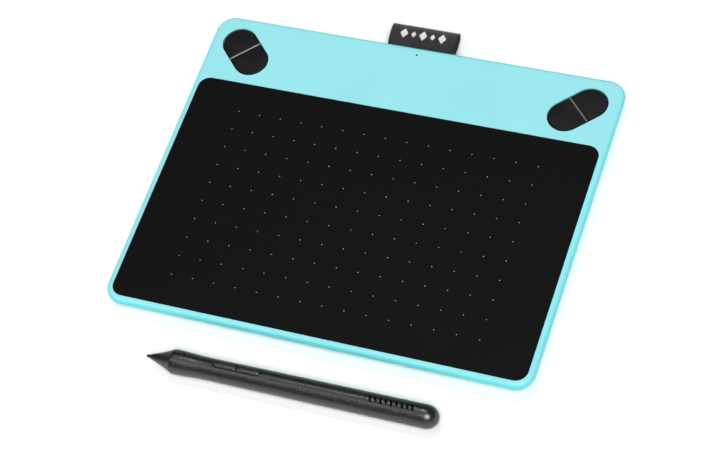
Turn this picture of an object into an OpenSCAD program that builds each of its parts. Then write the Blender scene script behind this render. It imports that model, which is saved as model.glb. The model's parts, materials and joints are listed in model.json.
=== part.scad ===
// Pen drawing tablet with its cordless pen lying in front of it, and everything inside both.
// Millimetres. +X runs along the tablet's front edge to the right, +Y away from the user, +Z up.
// Z = 0 is the desk. The origin is the bottom centre of the box around tablet and pen.

/* [Tablet case] */
// Width of the tablet from side to side
tablet_w = 210; // [208:1:214]
// Depth of the tablet from front to back
tablet_d = 170; // [169:1:174]
// Corner radius of the outline
corner_r = 9; // [8.5:0.5:10]
// Width of the rim around the drawing surface
rim_w = 3; // [2.6:0.1:3.4]
// Depth of the band behind the drawing surface
band_d = 38.6; // [37:0.2:40]

/* [Shortcut keys] */
// Length of each oval pair of keys
key_oval_l = 30; // [29:0.2:31.4]
// Width of each oval pair of keys
key_oval_w = 16.7; // [15.5:0.1:17]
// How far a key goes down
key_travel = 0.4; // [0.3:0.05:0.45]

/* [Pen loop] */
// Width of the woven loop
loop_w = 34; // [28:1:35]
// Thickness of one ply of the ribbon
ply = 0.6; // [0.4:0.1:0.6]

/* [Accessory cover] */
// Width of the cover in the underside
cover_w = 99.6; // [90:0.2:100]

/* [Pen] */
// Length of the pen
pen_l = 142.4; // [138:0.2:148]
// Radius of the flare behind the nose
flare_r = 5.9; // [5.7:0.05:6.2]
// Radius of the waist behind the flare
waist_r = 5.3; // [5.25:0.05:5.4]
// Radius of the barrel near its tail
tail_r = 5.55; // [5.45:0.05:5.65]
// Gap between the tablet's front edge and the nib's tip
pen_gap = 22.6; // [12:0.2:40]
// X position of the nib's tip
pen_tip_x = -73.4; // [-90:0.1:-50]
// Angle between the pen and the tablet's front edge
pen_yaw = 0.5; // [-3:0.5:3]
// Angle of the side buttons around the pen, from +Y towards +Z
button_angle = 76; // [60:1:90]

/* [Hidden] */
$fn = 64;
skin = 0.01;

// Heights above the desk
floor_z = 0.8;
cavity_z = 2.3;
split_z = 5.4;
wide_z = 7.8;
plate_z = 8.4;
top_z = 10;
belly_r = 3.8;
bevel_slope = 44;
bevel_inset = 5.4;
top_edge_r = top_z - wide_z;

// Distances in from the widest outline
upper_inset = 2.4;
lip_inset = 2.6;
lower_inset = 4.4;
floor_inset = 5.6;
floor_step_z = 3.4;
lip_h = 1.2;

half_w = tablet_w / 2;
half_d = tablet_d / 2;

// Drawing surface and the board under it
sheet_t = 0.5;
recess = 0.6;
sheet_w = tablet_w - 2 * rim_w;
sheet_d = tablet_d - rim_w - band_d;
sheet_y = -half_d + rim_w + sheet_d / 2;
sheet_r = 5.9;
sensor = [188, 116, 0.8];
shield = [186, 114, 0.3];
board_z = plate_z - sensor[2];
shield_z = board_z - shield[2];
rib_top = 6.8;
rib_l = 184;
rib_w = 1.4;
rib_ys = [-62, -36, -10, 16];
cross_rib_xs = [-66, -22, 22, 66];
cross_rib_h = 2.2;

// Shortcut keys
key_x = half_w - 19.7;
key_y = half_d - 20.1;
key_gap = 0.45;
key_split = 0.3;
key_bevel = 0.5;
key_top = top_z + 0.15;
flange_t = 0.7;
flange_z = plate_z - 0.1 - flange_t;
switch_pitch = 15.2;
key_board = [25, 13, 0.8];
key_board_z = 4.4;
switch_z = key_board_z + key_board[2];
switch_w = 4.6;
switch_h = 1.4;
plunger_r = 1.2;
press_gap = 0.05;
plunger_z = switch_z + 0.7;
plunger_h = 1.2;

// Woven loop, in section: two plies leave the case together and part around a leaf-shaped hollow
tail_z = split_z;
tail_l = 8.4;
mouth_z = tail_z + 2 * ply + 0.6;
hollow_l = 12.3;
hollow_h = 3.3;
hollow_tilt = 6;
loop_reach = (hollow_l + ply / 2) * cos(hollow_tilt);
clamp = [46, 3.8, 0.8];
clamp_y = half_d - 6;
clamp_z = tail_z + 2 * ply;
clamp_screw_x = 20.6;

// Status light
led_y = half_d - 4.9;
led_board = [14, 3.2, 0.6];
led_board_z = 7.5;
peg_x = 5.4;

// Main board, its sockets and its flat cables
main_board = [20.4, 36.4, 0.8];
main_x = 56.8;
main_y = 62.2;
main_z = 3.6;
main_top = main_z + main_board[2];
controller = [7, 7, 1];
controller_at = [56.6, 62.6];
regulator = [4, 3, 1];
regulator_at = [64.4, 61.6];
usb = [7.5, 5.5, 2.45];
usb_x = 59;
usb_y = half_d - 4.5;
cable_t = 0.3;
cable_w = 10;
cable_x = 56;
plug_ys = [45.3, 55];
key_cable_z = switch_z;
key_cable_h = 1.8;
key_cable_y = 66;
key_plugs_at = [[52, 71.4], [63.4, key_cable_y]];
module_x = 46.8;
module_h = 2.2;
modules_at = [[48, 8.6], [63, 10.6]];

// Accessory bay in the underside
cover_t = 1.2;
cover_front = half_d - 51.4;
cover_gap = 0.2;
tongue_w = 1.4;
tongue_z = 1.4;
cover_roof = floor_z + cover_t + 0.05;
bay = [90, 36];
bay_y = half_d - 29;
bay_top = 6.6;
bay_wall = 1.2;
ledge_top = 3.2;
rack = [7, 16, 3.4];
rack_at = [(rack[0] - bay[0]) / 2, bay_y + 6];
nib_pitch = 2.1;
spare_nib_z = bay_top - 1.7;

// Fasteners
case_screws_at = concat(
    [for (side = [-1, 1], y = [-72, -17, 36]) [side * (half_w - 7.9), y]],
    [for (side = [-1, 1]) [side * 72, half_d - 7.9]]
);
screw_r = 1.1;
screw_head_r = 2;
case_head_z = 1.2;
case_head_h = 1.3;
case_boss_r = 2.6;
boss_split = 4;
board_screw_r = 0.8;
board_screw_l = 2;
board_head_r = 1.75;
board_head_h = 0.9;
main_screws_at = [[51.4, 47.6], [63.6, 70.4]];

// Feet
foot = [24, 7, 1.3];
foot_recess = 0.5;
feet_at = [[-80, -73.6], [80, -73.6], [-84, 60], [84, 60]];

// Pen, measured from the nib's tip along its axis
nose_s = 2.4;
barrel_s = 13.7;
flare_s = 15.1;
waist_s = 30;
tail_s = 136.4;
bore_r = 4.7;
plug_r = bore_r - 0.1;
core_r = 1.9;
coil_s = 9.8;
coil_l = 7.8;
buttons_s = [34, 57.4];
button_w = 3.9;
button_split = 0.4;
button_travel = 0.25;
button_top_r = 5.85;
nib_r = 0.8;
nib_l = 21;
nib_travel = 0.3;
carrier_s = [18.8, 22.2];
chassis_s = [27.6, 118];
pen_board = [0.8, 8.2, 66];
pen_board_x = 0.6;
pen_chip_s = 64;
pad_x = 2.85;
pen_switch_h = pad_x - pen_board_x - pen_board[0] - button_travel - 0.1;
pen_tilt = asin((flare_r - tail_r) / (tail_s - flare_s));

// The tablet's centre lies behind the origin, because the pen lies in front
tablet_y = (pen_gap - flare_s * sin(pen_yaw) + flare_r * cos(pen_yaw) - loop_reach) / 2;
pen_y = tablet_y - half_d - pen_gap;

mint = [0.56, 0.91, 0.94];
black = [0.08, 0.08, 0.09];
board_green = [0.05, 0.32, 0.2];
metal = [0.75, 0.76, 0.78];
white = [0.9, 0.9, 0.88];

// ---------- shared shapes ----------

module tablet_frame() translate([0, tablet_y, 0]) children();

// Pen coordinates: the axis is +Z from the nib's tip, and the side buttons face +X
module pen_frame()
    translate([pen_tip_x, pen_y, flare_r + flare_s * sin(pen_tilt)])
        rotate([0, 90 + pen_tilt, pen_yaw])
            rotate([0, 0, 90 + button_angle])
                children();

module rounded_rect(w, d, r) {
    square([w - 2 * r, d], center = true);
    square([w, d - 2 * r], center = true);
    for (x = [-1, 1], y = [-1, 1])
        translate([x * (w / 2 - r), y * (d / 2 - r)]) circle(r);
}

module stadium(length, width) {
    square([length - width, width], center = true);
    for (x = [-1, 1])
        translate([x * (length - width) / 2, 0]) circle(width / 2);
}

// Box by its centre in plan and its lowest face
module block(size, x, y, z)
    translate([x - size[0] / 2, y - size[1] / 2, z]) cube(size);

// Middle of the loop's ribbon, as an angle goes from the mouth over the top and back underneath
function loop_middle(a) =
    let (along = hollow_l * (1 - cos(a)) / 2, up = hollow_h * sin(a) * pow(sin(a / 2), 0.35))
    [half_d, mouth_z] + [
        along * cos(hollow_tilt) - up * sin(hollow_tilt),
        along * sin(hollow_tilt) + up * cos(hollow_tilt)
    ];

// A point on the ribbon's outer or inner face, a distance out from its middle
function loop_face(a, out) =
    let (step = loop_middle(a + 1) - loop_middle(a - 1))
    loop_middle(a) + out * [-step[1], step[0]] / norm(step);

// Thin strip along a path in plan
module strip(points, thin)
    for (i = [1:len(points) - 1]) {
        along = points[i] - points[i - 1];
        translate(points[i - 1]) rotate(atan2(along[1], along[0]))
            translate([-thin / 2, -thin / 2]) square([norm(along) + thin, thin]);
    }

// Section of the case's edge, from a corner's axis outwards: a tight round above the widest level,
// a wider one below it and a bevel down to the underside
module edge_section(low, high)
    intersection() {
        union() {
            translate([0, wide_z]) square([corner_r - top_edge_r, top_edge_r]);
            intersection() {
                translate([corner_r - top_edge_r, wide_z]) circle(top_edge_r);
                translate([corner_r - top_edge_r, wide_z]) square(top_edge_r);
            }
            polygon(concat(
                [[0, wide_z], [0, floor_z], [corner_r - bevel_inset, floor_z]],
                [for (i = [6:-1:0]) [
                    corner_r - belly_r * (1 - cos(bevel_slope * i / 6)),
                    wide_z - belly_r * sin(bevel_slope * i / 6)
                ]]
            ));
        }
        translate([0, low]) square([corner_r, high - low]);
    }

// The case's outer form between two heights
module case_form(low, high) {
    core_w = tablet_w - 2 * corner_r;
    core_d = tablet_d - 2 * corner_r;
    block([core_w, core_d, high - low], 0, 0, low);
    for (turn = [0, 180]) {
        rotate(turn) translate([core_w / 2, 0, 0]) rotate([90, 0, 0])
            linear_extrude(core_d, center = true) edge_section(low, high);
        rotate(turn + 90) translate([core_d / 2, 0, 0]) rotate([90, 0, 0])
            linear_extrude(core_w, center = true) edge_section(low, high);
    }
    for (corner = [0:3]) {
        x = (corner == 0 || corner == 3) ? 1 : -1;
        y = corner < 2 ? 1 : -1;
        translate([x * core_w / 2, y * core_d / 2, 0]) rotate(corner * 90)
            rotate_extrude(angle = 90) edge_section(low, high);
    }
}

// Prism inside the outline, a given distance in from its widest line
module inset_prism(inset, low, high)
    translate([0, 0, low])
        linear_extrude(high - low)
            rounded_rect(tablet_w - 2 * inset, tablet_d - 2 * inset, corner_r - inset);

// Places children at a key oval's centre with +X along the oval, away from the tablet's middle
module key_frame(side)
    translate([side * key_x, key_y, 0]) rotate(side > 0 ? 45 : 135) children();

module usb_opening(low, high)
    block([usb[0] + 0.4, 8, high - low], usb_x, half_d - 0.5, low);

// ---------- tablet case ----------

module top_case() color(mint) tablet_frame() difference() {
    union() {
        difference() {
            case_form(split_z, top_z);
            inset_prism(upper_inset, split_z - 1, plate_z);
            translate([0, sheet_y, top_z - recess])
                linear_extrude(1) rounded_rect(sheet_w + 0.1, sheet_d + 0.1, sheet_r + 0.05);
            for (side = [-1, 1]) key_frame(side) translate([0, 0, plate_z - 1])
                linear_extrude(3) stadium(key_oval_l + 2 * key_gap, key_oval_w + 2 * key_gap);
            block([loop_w + 0.8, 8, mouth_z + ply + 0.2 - split_z + 1], 0, half_d - 1, split_z - 1);
            usb_opening(split_z - 1, main_top + usb[2] + 0.1);
        }
        for (at = case_screws_at) translate([at[0], at[1], boss_split])
            cylinder(r = case_boss_r, h = plate_z + 0.2 - boss_split);
        for (side = [-1, 1]) translate([side * peg_x, led_y - 1, led_board_z - 0.05])
            cylinder(r = 0.6, h = plate_z + 0.2 - led_board_z, $fn = 24);
    }
    for (at = case_screws_at) translate([at[0], at[1], boss_split - 1])
        cylinder(r = screw_r + 0.02, h = 5);
    translate([0, led_y, plate_z - 1]) cylinder(r = 0.55, h = 3, $fn = 24);
    translate([0, led_y, plate_z - 1]) cylinder(r = 0.95, h = 1.35, $fn = 24);
}

module cover_cut() {
    cut_d = half_d - cover_front + 1;
    y = cover_front + cut_d / 2;
    block([cover_w + 2 * cover_gap, cut_d, cover_roof], 0, y, 0);
    slot_z = tongue_z - 0.05;
    block([cover_w + 2 * (tongue_w + cover_gap), cut_d, cover_roof - slot_z], 0, y, slot_z);
}

module bottom_ribs() {
    for (y = rib_ys) block([rib_l, rib_w, rib_top - cavity_z + 0.2], 0, y, cavity_z - 0.2);
    cross_l = rib_ys[3] - rib_ys[0] + 16;
    cross_y = (rib_ys[3] + rib_ys[0]) / 2 - 3;
    for (x = cross_rib_xs) block([rib_w, cross_l, cross_rib_h], x, cross_y, cavity_z - 0.2);
}

module bay_shell() {
    block([bay[0] + 2 * bay_wall, bay[1] + 2 * bay_wall, shield_z - cavity_z], 0, bay_y, cavity_z);
    ledge_d = half_d - floor_inset - cover_front + 1.8;
    ledge_z = floor_z + 0.4;
    block([cover_w + 8, ledge_d, ledge_top - ledge_z], 0, cover_front - 1.6 + ledge_d / 2, ledge_z);
}

module bottom_bosses() {
    for (at = case_screws_at) translate([at[0], at[1], cavity_z - 0.2])
        cylinder(r = case_boss_r, h = boss_split - cavity_z + 0.2);
    for (at = main_screws_at) translate([at[0], at[1], cavity_z - 0.2])
        cylinder(r = 2, h = main_z - cavity_z + 0.2);
    for (side = [-1, 1]) {
        key_frame(side) translate([0, 0, cavity_z - 0.2])
            cylinder(r = 2.4, h = key_board_z - cavity_z + 0.2);
        translate([side * clamp_screw_x, clamp_y, ledge_top - 0.2])
            cylinder(r = 1.7, h = clamp_z - ledge_top + 0.2);
    }
}

// Hole for a board screw, by the height of the underside of its head
module screw_hole()
    translate([0, 0, -board_screw_l - 0.1]) cylinder(r = board_screw_r + 0.02, h = board_screw_l + 2);

module bottom_case() color(mint) tablet_frame() difference() {
    union() {
        difference() {
            case_form(floor_z, split_z);
            inset_prism(floor_inset, cavity_z, floor_step_z + 0.5);
            inset_prism(lower_inset, floor_step_z, split_z + 1);
        }
        difference() {
            inset_prism(lip_inset, split_z - 0.3, split_z + lip_h);
            inset_prism(lower_inset, split_z - 1, split_z + lip_h + 1);
            block([clamp[0] + 0.8, 8, 3], 0, half_d - 4, split_z);
        }
        bottom_ribs();
        bay_shell();
        bottom_bosses();
    }
    cover_cut();
    block([bay[0], bay[1], bay_top], 0, bay_y, 0);
    for (at = case_screws_at) translate([at[0], at[1], 0]) {
        cylinder(r = screw_r + 0.15, h = 6);
        cylinder(r = screw_head_r + 0.2, h = case_head_z + case_head_h);
    }
    for (at = main_screws_at) translate([at[0], at[1], main_top]) screw_hole();
    for (side = [-1, 1]) {
        key_frame(side) translate([0, 0, switch_z]) screw_hole();
        translate([side * clamp_screw_x, clamp_y, clamp_z + clamp[2]]) screw_hole();
    }
    for (at = feet_at) translate([at[0], at[1], 0])
        linear_extrude(floor_z + foot_recess) stadium(foot[0] + 0.1, foot[1] + 0.1);
    usb_opening(main_top - 0.05, split_z + 3);
    for (at = modules_at)
        block([6, at[1] + 0.4, module_h + 0.4], bay[0] / 2 + 1, at[0], main_top - 0.2);
}

module foot_at(i) color("#303033") tablet_frame()
    translate([feet_at[i][0], feet_at[i][1], 0]) linear_extrude(foot[2]) stadium(foot[0], foot[1]);

module accessory_cover() color(mint) tablet_frame() difference() {
    union() {
        intersection() {
            case_form(floor_z, floor_z + cover_t);
            block([cover_w, tablet_d, 6], 0, cover_front + cover_gap + half_d, 0);
        }
        intersection() {
            case_form(tongue_z, floor_z + cover_t);
            block([cover_w + 2 * tongue_w, tablet_d, 6], 0, cover_front + 3 + half_d, 0);
        }
    }
    for (i = [0:4]) block([26 - 3 * i, 1.2, 1], 0, cover_front + 8 + 2.6 * i, floor_z - 0.6);
}

module drawing_surface() color(black) tablet_frame()
    translate([0, sheet_y, top_z - recess])
        linear_extrude(sheet_t) rounded_rect(sheet_w, sheet_d, sheet_r);

// ---------- boards inside the tablet ----------

module sensor_board() color(board_green) tablet_frame() {
    block(sensor, 0, sheet_y, board_z);
    block([14, 8.4, sensor[2]], 56, sheet_y + sensor[1] / 2 + 4, board_z);
}

module shield_plate() color(metal) tablet_frame() block(shield, 0, sheet_y, shield_z);

module foam_strips() color("#404045") tablet_frame()
    for (y = rib_ys) block([180, 4, shield_z - rib_top], 0, y, rib_top);

module main_board() color(board_green) tablet_frame() difference() {
    block(main_board, main_x, main_y, main_z);
    for (at = main_screws_at) translate([at[0], at[1], main_z - 1]) cylinder(r = 1, h = 3);
}

module controller_chip() color(black) tablet_frame()
    block(controller, controller_at[0], controller_at[1], main_top);

module power_chip() color(black) tablet_frame()
    block(regulator, regulator_at[0], regulator_at[1], main_top);

module usb_socket() color(metal) tablet_frame() difference() {
    block(usb, usb_x, usb_y, main_top);
    block([usb[0] - 0.6, usb[1], usb[2] - 0.6], usb_x, usb_y + 0.6, main_top + 0.3);
}

// Flat cable that leaves the sensor board level and steps down to the main board
module sensor_ribbon() color(white) tablet_frame()
    translate([cable_x + cable_w / 2, 0, 0]) rotate([90, 0, -90]) linear_extrude(cable_w) {
        high = board_z - 0.5;
        low = main_top + 0.5;
        bend = (high - low) / 2;
        middle = (plug_ys[0] + plug_ys[1]) / 2;
        translate([-middle, high - cable_t / 2]) square([middle - plug_ys[0], cable_t]);
        translate([-plug_ys[1], low - cable_t / 2]) square([plug_ys[1] - middle - 2 * bend, cable_t]);
        translate([-middle, high - bend]) quarter_ring(bend, 90);
        translate([-middle - 2 * bend, low + bend]) quarter_ring(bend, 270);
    }

// A quarter of a ring of a given middle radius, from an angle to 90 degrees past it
module quarter_ring(middle_r, from)
    rotate(from) intersection() {
        difference() {
            circle(middle_r + cable_t / 2);
            circle(middle_r - cable_t / 2);
        }
        square(2 * middle_r);
    }

module ribbon_connectors() color(white) tablet_frame() {
    block([cable_w + 2, 3.4, 1], cable_x, plug_ys[0] - 1.7, board_z - 1);
    block([cable_w + 2, 3, 1.2], cable_x, plug_ys[1] + 1.5, main_top);
    for (at = key_plugs_at) block([2.4, 4, key_cable_z - main_top], at[0], at[1], main_top);
}

module key_board(side) color(board_green) tablet_frame() key_frame(side) difference() {
    block(key_board, 0, 0, key_board_z);
    translate([0, 0, key_board_z - 1]) cylinder(r = 1, h = 3);
}

module key_switches() color("#202022") tablet_frame()
    for (side = [-1, 1], end = [-1, 1])
        key_frame(side) translate([end * switch_pitch / 2, 0, switch_z]) difference() {
            block([switch_w, switch_w, switch_h], 0, 0, 0);
            translate([0, 0, plunger_z - switch_z - key_travel - press_gap])
                cylinder(r = plunger_r + 0.1, h = switch_h);
        }

// Flat cables that stand on their edge
module key_cable(points) color(white) tablet_frame()
    translate([0, 0, key_cable_z]) linear_extrude(key_cable_h) strip(points, cable_t);

module left_key_ribbon()
    key_cable([[-78, key_cable_y], [-52, key_cable_y], [-52, 75.7], [52, 75.7], key_plugs_at[0]]);

module right_key_ribbon()
    key_cable([key_plugs_at[1], [78, key_cable_y]]);

// Cross recess of a screw's head, by the lowest height that is cut
module screw_cross(length, width, z)
    for (turn = [0, 90]) rotate(turn) block([length, width, 0.9], 0, 0, z);

module board_screw_set() {
    for (at = main_screws_at) translate([at[0], at[1], main_top]) children();
    for (side = [-1, 1]) {
        translate([side * key_x, key_y, switch_z]) children();
        translate([side * clamp_screw_x, clamp_y, clamp_z + clamp[2]]) children();
    }
}

module board_screws() color(metal) tablet_frame() board_screw_set() difference() {
    union() {
        cylinder(r = board_head_r, h = board_head_h);
        translate([0, 0, -board_screw_l])
            cylinder(r = board_screw_r, h = board_screw_l + skin);
    }
    screw_cross(2, 0.4, board_head_h - 0.4);
}

module case_screws() color(metal) tablet_frame()
    for (at = case_screws_at) translate([at[0], at[1], 0]) difference() {
        union() {
            translate([0, 0, case_head_z]) cylinder(r = screw_head_r, h = case_head_h);
            translate([0, 0, case_head_z + case_head_h - skin]) cylinder(r = screw_r, h = 5);
        }
        screw_cross(2.4, 0.5, case_head_z - 0.3);
    }

// ---------- status light ----------

module led_board() color(board_green) tablet_frame() difference() {
    block(led_board, 0, led_y - 0.4, led_board_z);
    for (side = [-1, 1]) translate([side * peg_x, led_y - 1, led_board_z - 1])
        cylinder(r = 0.65, h = 3, $fn = 24);
}

module status_led() color(white) tablet_frame()
    block([1, 0.6, 0.5], 0, led_y, led_board_z + led_board[2]);

module light_pipe() color("#d8e8ee") tablet_frame()
    translate([0, led_y, plate_z + 0.35]) cylinder(r = 0.5, h = top_z - plate_z - 0.35, $fn = 24);

// ---------- pen loop ----------

module pen_loop() color(black) tablet_frame()
    rotate([90, 0, 90]) linear_extrude(loop_w, center = true) difference() {
        tail_front = half_d - tail_l;
        mouth_y = half_d - 0.1;
        step_front = half_d - 3.4;
        polygon(concat(
            [for (a = [20:10:340]) loop_face(a, ply / 2)],
            [[mouth_y, mouth_z - ply], [step_front + 0.4, tail_z], [tail_front, tail_z]],
            [[tail_front, tail_z + 2 * ply], [step_front, tail_z + 2 * ply], [mouth_y, mouth_z + ply]]
        ));
        polygon([for (a = [10:10:350]) loop_face(a, -ply / 2)]);
    }

module loop_clamp() color(metal) tablet_frame() difference() {
    block(clamp, 0, clamp_y, clamp_z);
    for (side = [-1, 1]) translate([side * clamp_screw_x, clamp_y, clamp_z - 1]) cylinder(r = 1, h = 3);
}

// ---------- accessory bay ----------

module nib_rack() color("#303033") tablet_frame() difference() {
    block(rack, rack_at[0], rack_at[1], bay_top - rack[2]);
    for (i = [-1:1]) translate([rack_at[0] + i * nib_pitch, rack_at[1] - rack[1] / 2 - 1, spare_nib_z])
        rotate([-90, 0, 0]) cylinder(r = nib_r + 0.05, h = 13, $fn = 32);
}

module spare_nibs() color(black) tablet_frame()
    for (i = [-1:1]) translate([rack_at[0] + i * nib_pitch, rack_at[1] - rack[1] / 2 - 4.6, spare_nib_z])
        rotate([-90, 0, 0]) nib(14);

module module_socket(i) color(black) tablet_frame()
    block([3, modules_at[i][1], module_h], module_x, modules_at[i][0], main_top);

// ---------- shortcut keys ----------

// Half an oval: x >= split / 2
module half_stadium(length, width, split)
    intersection() {
        stadium(length, width);
        translate([split / 2, -width]) square([length, 2 * width]);
    }

// A key of the pair: end +1 is the one at the tablet's corner, and -1 the one nearer the middle
module key(side, end) color(black) tablet_frame() key_frame(side) rotate(end > 0 ? 0 : 180) difference() {
    union() {
        translate([0, 0, flange_z])
            linear_extrude(key_top - flange_z) half_stadium(key_oval_l, key_oval_w, key_split);
        translate([0, 0, flange_z])
            linear_extrude(flange_t) half_stadium(key_oval_l + 1.6, key_oval_w + 1.6, key_split);
        translate([switch_pitch / 2, 0, plunger_z + plunger_h])
            cylinder(r = 1.8, h = flange_z + skin - plunger_z - plunger_h);
    }
    translate([key_split / 2, 0, key_top])
        rotate([90, 0, 0]) linear_extrude(2 * key_oval_w, center = true)
            polygon([[-skin, -key_bevel], [key_bevel * 1.4, skin], [-skin, skin]]);
}

module plunger(side, end) color("#606064") tablet_frame() key_frame(side)
    translate([end * switch_pitch / 2, 0, plunger_z]) cylinder(r = plunger_r, h = plunger_h);

// ---------- pen ----------

function smooth(t) = t * t * (3 - 2 * t);

// Radius of the barrel at a distance from the nib's tip
function barrel_r(s) =
    s < flare_s ? flare_r - 0.12 * (flare_s - s) / (flare_s - barrel_s)
    : s < waist_s ? flare_r - (flare_r - waist_r) * smooth((s - flare_s) / (waist_s - flare_s))
    : s < tail_s ? waist_r + (tail_r - waist_r) * pow((s - waist_s) / (tail_s - waist_s), 0.7)
    : tail_r * sqrt(max(0, 1 - pow((s - tail_s) / (pen_l - tail_s), 2)));

barrel_stations = concat(
    [barrel_s, flare_s],
    [for (i = [1:7]) flare_s + (waist_s - flare_s) * i / 7],
    [for (i = [1:6]) waist_s + (tail_s - waist_s) * i / 6],
    [for (i = [1:8]) tail_s + (pen_l - tail_s) * sin(90 * i / 8)]
);

module pen_barrel() color(black) pen_frame() difference() {
    rotate_extrude()
        polygon(concat([[0, barrel_s]], [for (s = barrel_stations) [barrel_r(s), s]]));
    translate([0, 0, barrel_s - 1]) cylinder(r = bore_r, h = pen_l - 22);
    translate([3, 0, (buttons_s[0] + buttons_s[1]) / 2]) rotate([0, 90, 0])
        linear_extrude(5) stadium(buttons_s[1] - buttons_s[0] + 0.5, button_w + 0.5);
}

module pen_nose() color(black) pen_frame() rotate_extrude()
    polygon([
        [0.95, nose_s], [1.3, nose_s], [3.6, 8.3], [5.35, 12.6], [barrel_r(barrel_s), barrel_s],
        [plug_r, barrel_s], [plug_r, 20], [3, 20], [3, coil_s - 0.8], [0.95, coil_s - 0.8]
    ]);

module nib(length) {
    translate([0, 0, nib_r * 0.9]) cylinder(r = nib_r, h = length - nib_r * 0.9);
    translate([0, 0, nib_r * 0.9]) sphere(nib_r * 0.9);
}

module pen_nib() color(black) pen_frame() nib(nib_l);

module nib_carrier() color(white) pen_frame() difference() {
    translate([0, 0, carrier_s[0]]) cylinder(r = 2.4, h = carrier_s[1] - carrier_s[0]);
    translate([0, 0, carrier_s[0] - 1]) cylinder(r = nib_r + 0.01, h = nib_l - carrier_s[0] + 1);
}

module ferrite_core() color("#26262a") pen_frame() difference() {
    translate([0, 0, coil_s - 0.8]) cylinder(r = core_r, h = coil_l + 1.4);
    cylinder(r = 1, h = 30);
}

module pen_coil() color([0.72, 0.4, 0.2]) pen_frame() difference() {
    translate([0, 0, coil_s]) cylinder(r = 2.7, h = coil_l);
    cylinder(r = core_r + 0.02, h = 30);
}

module pressure_sensor() color(metal) pen_frame()
    translate([0, 0, carrier_s[1] + nib_travel + 0.1]) cylinder(r = bore_r - 0.2, h = 4.8);

module pen_chassis() color("#303033") pen_frame() difference() {
    chassis_l = chassis_s[1] - chassis_s[0];
    translate([0, 0, chassis_s[0]]) cylinder(r = bore_r - 0.2, h = chassis_l);
    translate([0, 0, chassis_s[0] + 1.4]) cylinder(r = bore_r - 1.1, h = chassis_l - 2.8);
    block([10, 12, pen_l], pen_board_x + 5, 0, 0);
}

// Box on the pen's board, by its height above the board and its middle along the pen
module on_pen_board(size, s)
    block(size, pen_board_x + pen_board[0] + size[0] / 2, 0, s - size[2] / 2);

module pen_circuit_board() color(board_green) pen_frame()
    block(pen_board, pen_board_x + pen_board[0] / 2, 0, chassis_s[0] + 0.8);

module pen_switches() color("#202022") pen_frame()
    for (i = [0:1]) on_pen_board([pen_switch_h, 2.6, 3.4], button_middle(i));

module pen_chip() color("#202022") pen_frame() on_pen_board([0.9, 4, 4], pen_chip_s);

module pen_capacitors() color([0.7, 0.55, 0.35]) pen_frame()
    for (i = [0:3]) on_pen_board([0.8, 1.6, 1], pen_chip_s + 6 + 3 * i);

function button_l() = (buttons_s[1] - buttons_s[0] - button_split) / 2;
function button_middle(i) = buttons_s[0] + button_l() / 2 + i * (button_l() + button_split);

// One of the two side buttons: round at its outer end, straight where they meet, on a wider pad
module side_button(i) color(black) pen_frame() {
    outward = i == 0 ? -1 : 1;
    pad = [0.7, 5.4, button_l()];
    intersection() {
        translate([pad_x + pad[0] / 2, 0, (buttons_s[0] + buttons_s[1]) / 2]) rotate([0, 90, 0])
            linear_extrude(4) intersection() {
                stadium(buttons_s[1] - buttons_s[0], button_w);
                translate([-outward * (button_l() + button_split) / 2, 0])
                    square([button_l(), button_w], center = true);
            }
        translate([0, 0, buttons_s[0] - 1]) cylinder(r = button_top_r, h = 30);
    }
    block(pad, pad_x + pad[0] / 2, 0, button_middle(i) - pad[2] / 2 + outward * 0.6);
}

// ---------- output ----------

top_case();
bottom_case();
drawing_surface();
sensor_board();
shield_plate();
foam_strips();
main_board();
controller_chip();
power_chip();
usb_socket();
sensor_ribbon();
ribbon_connectors();
key_board(-1);  // left_key_board
key_board(1);  // right_key_board
key_switches();
left_key_ribbon();
right_key_ribbon();
led_board();
status_led();
light_pipe();
pen_loop();
loop_clamp();
case_screws();
board_screws();
foot_at(0);  // front_left_foot
foot_at(1);  // front_right_foot
foot_at(2);  // back_left_foot
foot_at(3);  // back_right_foot
nib_rack();
spare_nibs();
module_socket(0);  // battery_socket
module_socket(1);  // wireless_socket
accessory_cover();
key(-1, 1);  // left_back_key
key(-1, -1);  // left_front_key
key(1, 1);  // right_back_key
key(1, -1);  // right_front_key
plunger(-1, 1);  // left_back_plunger
plunger(-1, -1);  // left_front_plunger
plunger(1, 1);  // right_back_plunger
plunger(1, -1);  // right_front_plunger
pen_barrel();
pen_nose();
pen_chassis();
pen_circuit_board();  // pen_board
pen_switches();
pen_chip();
pen_capacitors();
ferrite_core();
pen_coil();
pressure_sensor();
pen_nib();
nib_carrier();
side_button(0);  // lower_side_button
side_button(1);  // upper_side_button
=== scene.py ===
# Pen drawing tablet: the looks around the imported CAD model, in metres and in the model's own frame.
import json
import math

import bmesh
import bpy
from mathutils import Matrix, Vector


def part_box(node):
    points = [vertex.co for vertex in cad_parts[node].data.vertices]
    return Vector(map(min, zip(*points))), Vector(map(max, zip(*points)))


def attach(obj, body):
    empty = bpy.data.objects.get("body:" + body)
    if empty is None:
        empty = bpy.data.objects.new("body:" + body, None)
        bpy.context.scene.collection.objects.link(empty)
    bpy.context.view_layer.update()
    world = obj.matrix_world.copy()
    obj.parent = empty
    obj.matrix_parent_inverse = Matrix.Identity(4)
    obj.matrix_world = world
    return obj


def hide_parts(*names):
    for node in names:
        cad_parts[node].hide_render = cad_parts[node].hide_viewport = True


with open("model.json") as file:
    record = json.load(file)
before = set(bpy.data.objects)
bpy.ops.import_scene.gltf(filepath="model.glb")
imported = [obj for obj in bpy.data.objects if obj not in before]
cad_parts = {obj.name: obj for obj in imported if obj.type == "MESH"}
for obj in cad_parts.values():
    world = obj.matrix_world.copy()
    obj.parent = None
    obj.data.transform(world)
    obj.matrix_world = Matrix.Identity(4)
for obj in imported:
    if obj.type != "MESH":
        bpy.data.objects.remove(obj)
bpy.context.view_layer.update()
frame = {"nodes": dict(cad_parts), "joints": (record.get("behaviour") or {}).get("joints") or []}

MM = 0.001
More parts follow.
